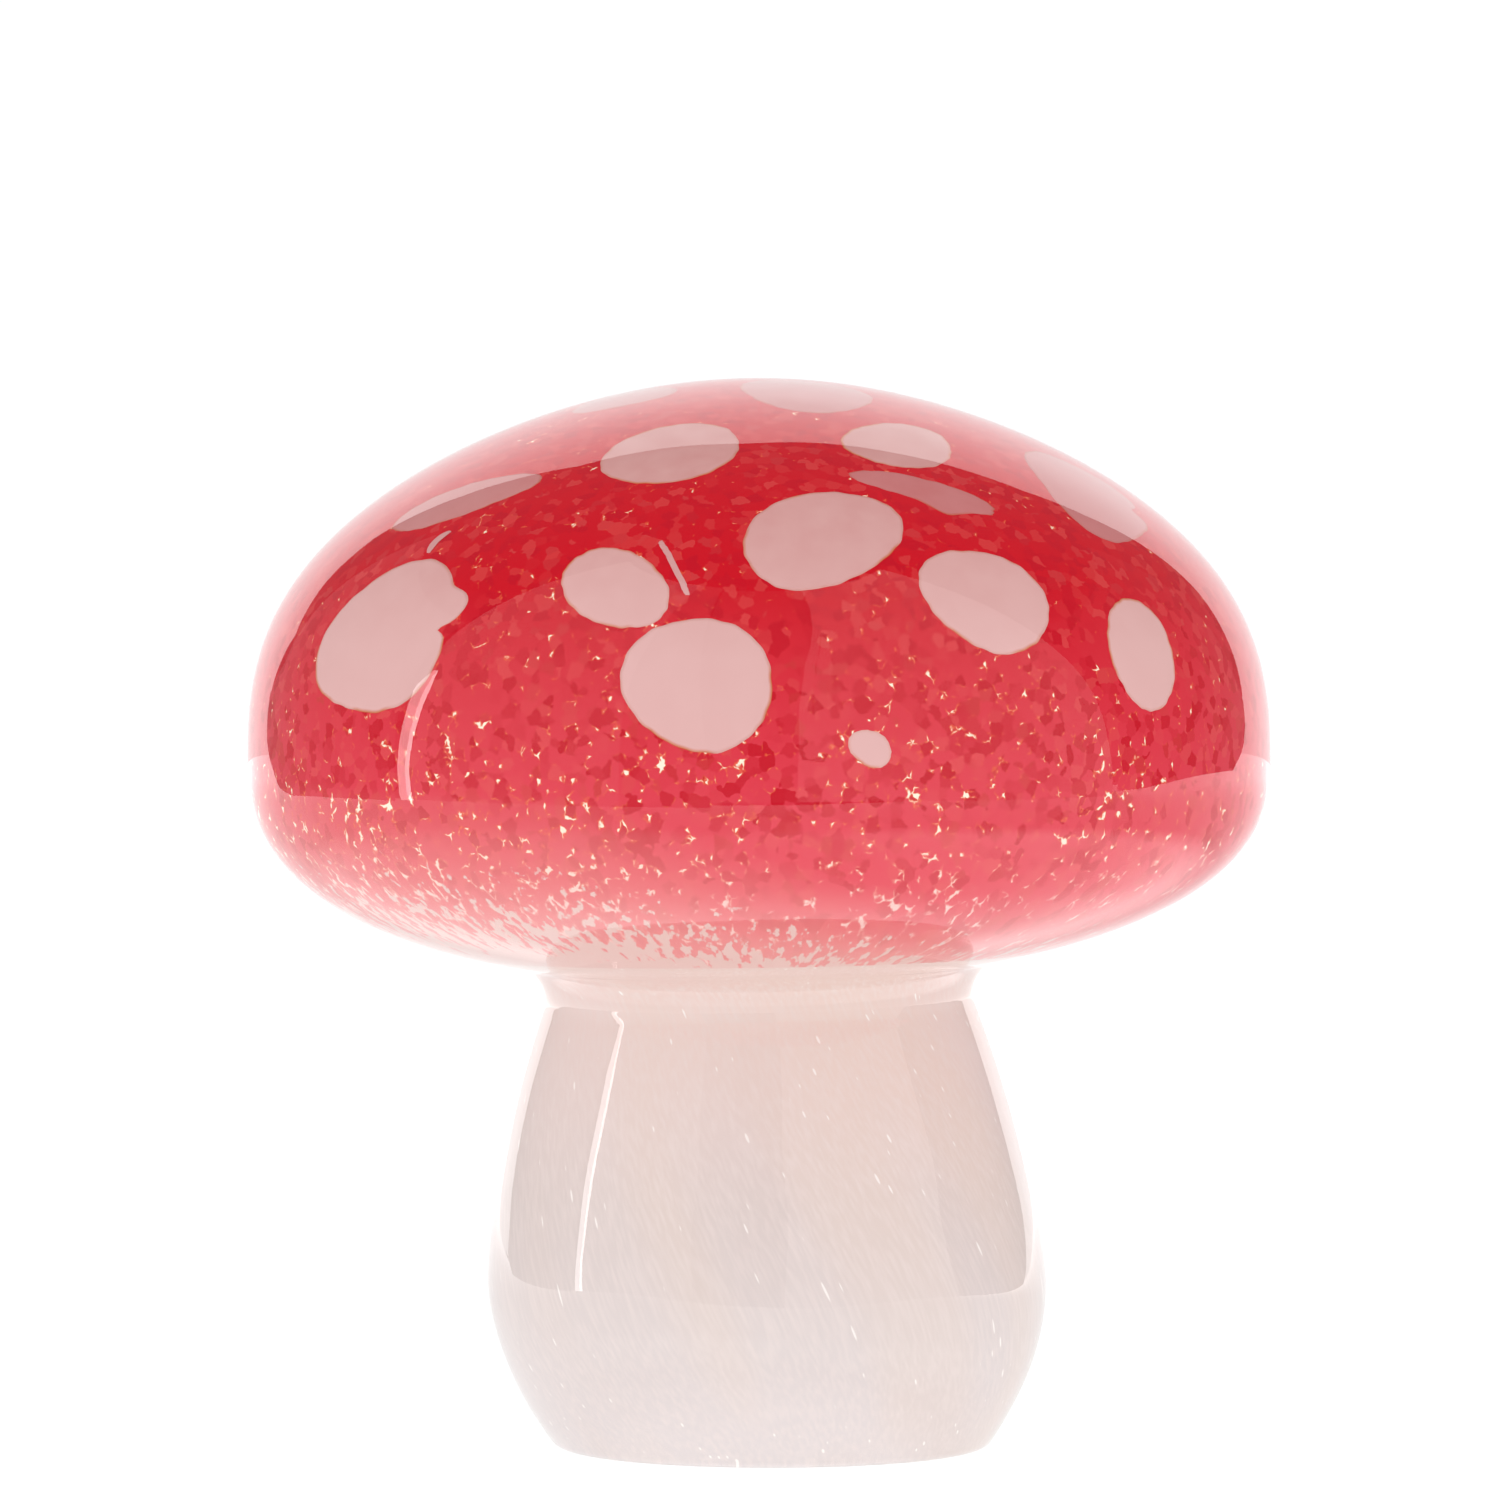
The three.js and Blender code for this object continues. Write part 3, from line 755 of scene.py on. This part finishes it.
spokes = np.linspace(0, 2 * np.pi, SPOKES, endpoint=False)
draw = np.random.default_rng(NIBBLE_SEED)
for number, (at, drop, *form) in enumerate(DABS, start=1):
    phases = draw.uniform(0, 2 * np.pi, len(NIBBLE_WAVES))
    rim = dab_rim(*form, spokes, phases, LOBES.get(number, ()))
    grid, inset = puddle(at, drop, rim)
    spot = skin(f"white_dab_{number:02d}", grid, inset=inset, smeared=0 * inset + SMEARED.get(number, 0))
    dress(spot, dab_white, "white_dab_glass", f"white_spot_{number:02d}")

# %% [markdown]
# Two thin slivers of the same white lie beside the dabs. Each is a narrow puddle with blunt ends, bowed by
# a parabola along its length, and it is too thin to have a brown edge.

# %% White threads
THREADS = [
    (-11.7, 51.1, 9, 0.7, -61, 0, 0),
    (-51.8, 49, 3.6, 0.9, 80, 0, 0),
]
BENDS = (0.1, 0.8)
THREAD_BLUNT = 0.4
THREAD_SMEARED = 0.15

for number, ((at, drop, *form), bend) in enumerate(zip(THREADS, BENDS), start=1):
    length, _, turn, _, _ = form
    rim = dab_rim(*form, spokes, 0 * NIBBLE_WAVES, blunt=THREAD_BLUNT)
    tilt = np.radians(turn)
    ahead = rim[0] * np.cos(tilt) + rim[1] * np.sin(tilt)
    bow = bend * (1 - (2 * ahead / length) ** 2)
    rim = rim + bow * np.array([[-np.sin(tilt)], [np.cos(tilt)]])
    grid, inset = puddle(at, drop, rim)
    thread = skin(f"white_sliver_{number}", grid, inset=inset + EDGE_LINE,
                  smeared=0 * inset + THREAD_SMEARED)
    dress(thread, dab_white, "white_dab_glass", f"white_thread_{number}")

# %% [markdown]
# ## Clear casing
# The last gather of clear glass gives the ornament its depth and its gloss. Its surface was only ever
# touched by fire, so it is perfectly smooth, but not perfectly even: slow waves a few hundredths of a
# millimetre high, and a twist of a tenth on the stem, make the edges of reflections wander. They are part
# of the shape, so they are made in the mesh.
# Light has to reach the colours inside. Cycles would need many samples to bring soft light through a curved
# surface, so rays that carry light, and shadow rays, pass straight through, and only what is seen or
# mirrored is bent by the glass.

# %% Clear glass
def clear_glass():
    """Clear soda-lime glass, fire-polished: no colour to speak of and no roughness."""
    material, tree = blank("clear_soda_lime_glass")
    glass = add(tree, "BsdfPrincipled", {"Base Color": linear("#FDFEFE"), "Roughness": 0.0,
                                         "IOR": GLASS_INDEX, "Transmission Weight": 1.0})
    through = add(tree, "BsdfTransparent").outputs[0]
    path = add(tree, "LightPath")
    lit = add(tree, "MixShader", {0: path.outputs["Is Shadow Ray"], 1: glass.outputs[0], 2: through})
    soft = add(tree, "MixShader", {0: path.outputs["Is Diffuse Ray"], 1: lit.outputs[0], 2: through})
    add(tree, "OutputMaterial", {"Surface": soft.outputs[0]})
    return material


# %% Casing
FOOT_ROUND = 2
ROUND_POINTS = 16
WAVE = 0.04
WAVE_TURNS = np.array([2, 3, 5, 7])
WAVE_RISES = np.array([31.0, 23.0, 17.0, 13.0])
TWIST = 0.1
TWIST_TURNS = 6
TWIST_RISE = 21.0
CALM_POLE = (0, 15)
CALM_FOOT = (1, 6)

inner_round = down_to(outline - FOOT_ROUND * out, FOOT_ROUND)
round_start = len(inner_round) - 1
round_centre = inner_round[-1]
edge_angles = np.linspace(np.arctan2(*out[round_start][::-1]), -QUARTER, ROUND_POINTS)
foot_edge = round_centre + FOOT_ROUND * np.stack([np.cos(edge_angles), np.sin(edge_angles)], axis=-1)
casing_outside = np.concatenate([outline[:round_start], foot_edge])
casing_inside = down_to(outline - (coat_depth + FUSED) * out, 0)[::-INSIDE_EVERY]
casing_profile = np.concatenate([casing_outside, casing_inside])
casing_out = np.concatenate([out[:round_start], 0 * foot_edge, 0 * casing_inside])

casing_grid = turned(casing_profile)
around_angle = np.linspace(0, 2 * np.pi, AROUND, endpoint=False)
heights = casing_profile[:, 1]
ripple = sum(
    np.sin(turns * around_angle + heights[:, None] / rise + turns)
    for turns, rise in zip(WAVE_TURNS, WAVE_RISES / (2 * np.pi))
) / len(WAVE_TURNS)
fade = ease(*CALM_POLE, casing_profile[:, 0]) * ease(*CALM_FOOT, heights)
twist = np.sin(TWIST_TURNS * around_angle + heights[:, None] * 2 * np.pi / TWIST_RISE)
on_stem = ease(NECK_LEVEL, BELLY_HEIGHT, heights)[:, None]
push = -(WAVE * (0.5 + 0.5 * ripple) + TWIST * (0.5 + 0.5 * twist) * on_stem) * fade[:, None]
facing = np.stack([np.sin(around_angle), -np.cos(around_angle)], axis=-1)
casing_grid[..., :2] += push[..., None] * casing_out[:, None, :1] * facing
casing_grid[..., 2] += push * casing_out[:, 1:]
casing = skin("clear_casing_skin", casing_grid)
dress(casing, clear_glass(), "clear_glass", "clear_casing")

# %% [markdown]
# ## Studio
# Glass shows its surroundings more than itself, so the studio matters as much as the material. The ornament
# stands on a white table in front of a white backdrop, with a soft tent of light around the camera. Two dim
# panels hang at the sides, between the tent and the backdrop, and the room overhead is dark. These dark
# zones are what leaves the red deep, and the edges of the backdrop and the side panels are the sharp lines
# that run round the cap and the stem. A bright slit in the tent draws the thin line of light on the left.
# The panels light the glass and are mirrored in it, and the camera sees through them, so that the ornament
# can be looked at from any side.

# %% Cloth and panels
PANEL_LIGHT = 1.04
SIDE_LIGHT = 1.1
BACKDROP_DISTANCE = 1200.0
PANEL_ROWS = 120
PANEL_COLUMNS = 24


def glow(name, shine, shine_around=None, reach=1.0, light=PANEL_LIGHT):
    """White cloth, lit from behind: an even light on the glass, and a mirror image of its own brightness,
    which may change outwards from the middle of the backdrop, over a reach in metres."""
    material, tree = blank(name)
    place = add(tree, "TexCoord").outputs["Object"]
    middle = (0.0, BACKDROP_DISTANCE * MM, EQUATOR * MM)
    outwards = add(tree, "VectorMath", {0: place, 1: middle}, operation="DISTANCE")
    image = add(tree, "MapRange", {"Value": outwards.outputs["Value"], 2: reach, 3: shine,
                                   4: shine_around or shine})
    path = add(tree, "LightPath")
    strength = add(tree, "Mix", {0: path.outputs["Is Glossy Ray"], 2: light, 3: image.outputs[0]})
    cloth = add(tree, "Emission", {"Strength": strength.outputs[0]})
    add(tree, "OutputMaterial", {"Surface": cloth.outputs[0]})
    return material


def tent_panel(name, shine, distance, edges, light=PANEL_LIGHT):
    """A patch of a sphere around the ornament. Its edges are a list of heights, each with the two bearings,
    from +Y towards +X, that the panel lies between, all in degrees."""
    heights, starts, ends = np.array(edges, float).T
    lift = np.linspace(heights[0], heights[-1], PANEL_ROWS)[:, None]
    start, end = np.interp(lift, heights, starts), np.interp(lift, heights, ends)
    turn = np.radians(start + (end - start) * np.linspace(0, 1, PANEL_COLUMNS))
    lift = np.radians(lift) + 0 * turn
    directions = np.stack([np.cos(lift) * np.sin(turn), np.cos(lift) * np.cos(turn), np.sin(lift)], axis=-1)
    panel = skin(name, CENTRE + distance * directions, around=False)
    panel.data.materials.append(glow(name + "_cloth", shine, light=light))
    panel.visible_camera = False
    print(name, "shines at", shine, "from", distance, "mm")


# %% Tent around the camera
tent_panel("tent_right", 0.9, 1000, [
    (-7, 95, 172), (3, 97.5, 171.5), (20, 99, 171), (36, 101, 169), (72, 104, 158),
])
tent_panel("tent_left", 0.8, 720, [(-7, -150, -97), (16, -150, -99), (33, -150, -95), (72, -150, -94)])
tent_panel("tent_fold", 0.5, 720, [(-7, -170, -150), (72, -162, -150)])
tent_panel("tent_gap", 0.36, 1000, [(-7, 172, 190), (72, 158, 198)])
tent_panel("tent_seam", 8.0, 690, [
    (-7, -99.4, -98), (-2, -98.2, -97), (8, -100, -98.6), (17, -100.6, -99.2), (23, -100, -99.6),
])
tent_panel("tent_slit", 4.5, 690, [
    (-7, -98, -95.6), (-2, -97, -94.7), (8, -98.6, -95.8), (17, -99.2, -96), (23, -99.6, -98.8),
])

# %% Side panels and backdrop
ARCH = [
    (-0.12, -1.2, 1.2), (0.0, -0.9, 0.95), (0.06, -0.71, 0.8), (0.26, -0.77, 0.72), (0.38, -0.62, 0.66),
    (0.52, -0.52, 0.62), (0.75, -0.47, 0.56), (0.9, -0.41, 0.48), (1.04, -0.35, 0.25), (1.15, -0.05, 0.0),
]
ARCH_ROWS = 180
BACKDROP_MIDDLE = 0.95
BACKDROP_AROUND = 1.45
BACKDROP_REACH = 0.6

tent_panel("tent_side_left", 0.36, 650, [
    (-8, -94, -56), (-7, -94, -54), (-6.7, -94, -51.6), (-5.5, -94, -47.3), (-3.85, -94, -44.9),
    (-3, -94, -40.2), (-1.9, -94, -38.2), (0, -94, -37.6), (2.5, -94, -37.6), (8, -94, -42), (40, -94, -42),
], SIDE_LIGHT)
tent_panel("tent_side_right", 0.25, 1240, [
    (-5, 49.5, 94), (-3.65, 49, 94), (-3.4, 46.3, 94), (-2.7, 43, 94), (-2, 41.3, 94), (-0.6, 39.9, 94),
    (2, 39.3, 94), (6, 42, 94), (40, 44, 94),
], SIDE_LIGHT)

arch_heights, arch_left, arch_right = np.array(ARCH).T
rise = np.linspace(arch_heights[0], arch_heights[-1], ARCH_ROWS)[:, None]
left = np.interp(rise, arch_heights, arch_left)
right = np.interp(rise, arch_heights, arch_right)
across = left + (right - left) * np.linspace(0, 1, PANEL_COLUMNS)
arch = np.stack([across, 1 + 0 * across, rise + 0 * across], axis=-1)
backdrop = skin("backdrop", CENTRE + BACKDROP_DISTANCE * arch, around=False)
backdrop.data.materials.append(glow("backdrop_cloth", BACKDROP_MIDDLE, BACKDROP_AROUND, BACKDROP_REACH))
backdrop.visible_camera = False
print("Backdrop", BACKDROP_DISTANCE, "mm behind the ornament")

# %% [markdown]
# The table is plain white and glows a little, as a lit table does. It keeps the soft shadow under the foot,
# and fades to pure white away from it. Mirrored in the glass it is brighter than paper white, out to its
# edges, and the room beyond it is dark. The mirror image is bright where the glass looks steeply down at
# the table and dim at a shallow angle, it is brightest to the right, and it widens towards the backdrop.
# Lamps could be placed one by one for that, but it is simpler to set the image itself by distance, side
# and angle. Angles are given as Layer Weight gives them: 0 is straight down and 1 along the table.

# %% Table
TABLE_FOOT = 1.0
TABLE_NEAR = 1.8
TABLE_STEEP = 1.5
TABLE_WINDOW = 2.3
TABLE_SHALLOW = 1.0
TABLE_FRONT = 1.4
TABLE_BEHIND = 1.9
UPRIGHT = (0.12, 0.35)
STEEP = (0.5, 0.62)
RING_ENDS = (40, 70)
FAR_BEGINS = (120, 1100)
WINDOW_SIDE = (30, 160)
FRONT_TO_BEHIND = (-100, 100)
TABLE_MIDDLE = (330, 300)
TABLE_HALF = (1070, 1150)
TABLE_FLARE = 1400
FLARE_BETWEEN = (300, 1200)
ROOM_LIGHT = 0.2


def table_image(tree, place, distance):
    """The brightness of the table's mirror image: from the ring around the foot, over the near table, to
    the far table, and the room's own brightness beyond the table's edges."""
    axes = add(tree, "SeparateXYZ", {"Vector": place})
    x, y = axes.outputs[0], axes.outputs[1]
    angle = add(tree, "LayerWeight").outputs["Facing"]
    window = add(tree, "MapRange", {"Value": x, 1: WINDOW_SIDE[0] * MM, 2: WINDOW_SIDE[1] * MM,
                                    3: TABLE_STEEP, 4: TABLE_WINDOW})
    near = add(tree, "MapRange", {"Value": angle, 1: STEEP[0], 2: STEEP[1], 3: window.outputs[0],
                                  4: TABLE_SHALLOW})
    foot = add(tree, "MapRange", {"Value": angle, 1: UPRIGHT[0], 2: UPRIGHT[1], 3: TABLE_NEAR,
                                  4: TABLE_FOOT})
    close = add(tree, "MapRange", {"Value": distance, 1: RING_ENDS[0] * MM, 2: RING_ENDS[1] * MM,
                                   3: foot.outputs[0], 4: near.outputs[0]})
    far = add(tree, "MapRange", {"Value": y, 1: FRONT_TO_BEHIND[0] * MM, 2: FRONT_TO_BEHIND[1] * MM,
                                 3: TABLE_FRONT, 4: TABLE_BEHIND})
    shine = add(tree, "MapRange", {"Value": distance, 1: FAR_BEGINS[0] * MM, 2: FAR_BEGINS[1] * MM,
                                   3: close.outputs[0], 4: far.outputs[0]})
    half = add(tree, "MapRange", {"Value": y, 1: FLARE_BETWEEN[0] * MM, 2: FLARE_BETWEEN[1] * MM,
                                  3: TABLE_HALF[0] * MM, 4: TABLE_FLARE * MM})
    on_x = add(tree, "Math", {0: x, 1: TABLE_MIDDLE[0] * MM, 2: half.outputs[0]}, operation="COMPARE")
    on_y = add(tree, "Math", {0: y, 1: TABLE_MIDDLE[1] * MM, 2: TABLE_HALF[1] * MM}, operation="COMPARE")
    on_table = add(tree, "Math", {0: on_x.outputs[0], 1: on_y.outputs[0]}, operation="MULTIPLY")
    return add(tree, "Mix", {0: on_table.outputs[0], 2: ROOM_LIGHT, 3: shine.outputs[0]}).outputs[0]


# %% White table
SHADOW_FADES = (100, 600)
TABLE_GLOW = 0.72
FLOOR_REACH = 9000.0
FLOOR_DROP = 0.15


def white_table():
    """White acrylic, lit from below: a glow plus a matt white that takes the shadow, and a bright mirror
    image."""
    material, tree = blank("white_acrylic_table")
    place = add(tree, "TexCoord").outputs["Object"]
    distance = add(tree, "VectorMath", {0: place}, operation="LENGTH").outputs["Value"]
    away = add(tree, "MapRange", {"Value": distance, 1: SHADOW_FADES[0] * MM, 2: SHADOW_FADES[1] * MM})
    level = add(tree, "Mix", {0: away.outputs[0], 2: TABLE_GLOW, 3: 1.0})
    matt = add(tree, "Mix", {0: away.outputs[0], 6: linear("#ADADAD"), 7: linear("#3F3F3F")},
               data_type="RGBA")
    lit = add(tree, "Emission", {"Strength": level.outputs[0]})
    paper = add(tree, "BsdfDiffuse", {"Color": matt.outputs[2]})
    seen = add(tree, "AddShader", {0: lit.outputs[0], 1: paper.outputs[0]})
    image = add(tree, "Emission", {"Strength": table_image(tree, place, distance)})
    path = add(tree, "LightPath")
    either = add(tree, "MixShader", {0: path.outputs["Is Glossy Ray"], 1: seen.outputs[0],
                                     2: image.outputs[0]})
    add(tree, "OutputMaterial", {"Surface": either.outputs[0]})
    return material


reach = np.linspace(-FLOOR_REACH, FLOOR_REACH, 3)
table_grid = np.stack([*np.meshgrid(reach, reach), np.full((3, 3), -FLOOR_DROP)], axis=-1)
table = skin("table", table_grid, around=False)
table.data.materials.append(white_table())
print("Table", FLOOR_DROP, "mm below the foot")

# %% [markdown]
# The room fills the shadows with a soft light. It is white where it is seen directly or through the glass,
# like the backdrop, and dark where it is mirrored.

# %% World
FILL_LIGHT = 0.76

world = bpy.data.worlds.new("studio")
bpy.context.scene.world = world
world.use_nodes = True
tree = world.node_tree
tree.nodes.clear()
path = add(tree, "LightPath")
direct = add(tree, "Math", {0: path.outputs["Is Camera Ray"], 1: path.outputs["Is Transmission Ray"]},
             operation="MAXIMUM")
dim = add(tree, "Mix", {0: path.outputs["Is Glossy Ray"], 2: FILL_LIGHT, 3: ROOM_LIGHT})
strength = add(tree, "Mix", {0: direct.outputs[0], 2: dim.outputs[0], 3: 1.0})
background = add(tree, "Background", {"Color": linear("#FFFFFF"), "Strength": strength.outputs[0]})
add(tree, "OutputWorld", {"Surface": background.outputs[0]})
bpy.context.scene.view_settings.view_transform = "Standard"
print("Fill light", FILL_LIGHT, "and room light", ROOM_LIGHT)

# %% [markdown]
# ## Camera
# The picture was taken from two metres away with a long lens, a little above the ornament, so the lines
# stay nearly parallel.

# %% Camera
EYE = np.array([-1.04, -2000.0, 212.0])
AIM = np.array([-1.04, 0.0, 81.6])
FRAME_WIDTH = 175.05
SENSOR = 36.0

lens = bpy.data.cameras.new("camera")
lens.sensor_width = SENSOR
lens.lens = SENSOR * np.linalg.norm(AIM - EYE) / FRAME_WIDTH
lens.clip_end = 100
camera = bpy.data.objects.new("camera", lens)
camera.location = Vector(EYE * MM)
camera.rotation_euler = Vector(AIM - EYE).to_track_quat("-Z", "Y").to_euler()
bpy.context.collection.objects.link(camera)
bpy.context.scene.camera = camera
print("Lens", round(lens.lens, 1), "mm")
